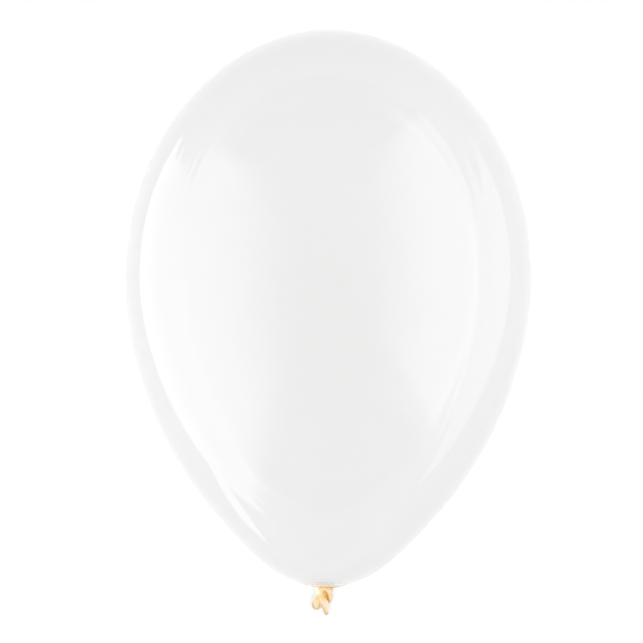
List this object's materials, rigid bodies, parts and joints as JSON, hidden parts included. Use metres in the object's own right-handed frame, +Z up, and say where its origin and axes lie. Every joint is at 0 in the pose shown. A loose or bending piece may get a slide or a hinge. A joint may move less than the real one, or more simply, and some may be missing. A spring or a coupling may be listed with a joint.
{
  "type": "clear latex balloon",
  "caption": "Egg-shaped clear latex party balloon, blown up and tied with a knot, lying on its side.",
  "frame": {"origin": "middle of the small flat spot that the balloon lies on", "axes": "+Z up, +Y towards the crown and -Y towards the knot, +X to the right of someone who looks down on it with the crown away from them"},
  "size_m": [0.3, 0.4316, 0.2995],
  "materials": {
    "clear_latex": "clear glossy skin, cream where it gathers at the neck and knot"
  },
  "bodies": {
    "root": {"balloon": "clear_latex"}
  },
  "joints": []
}
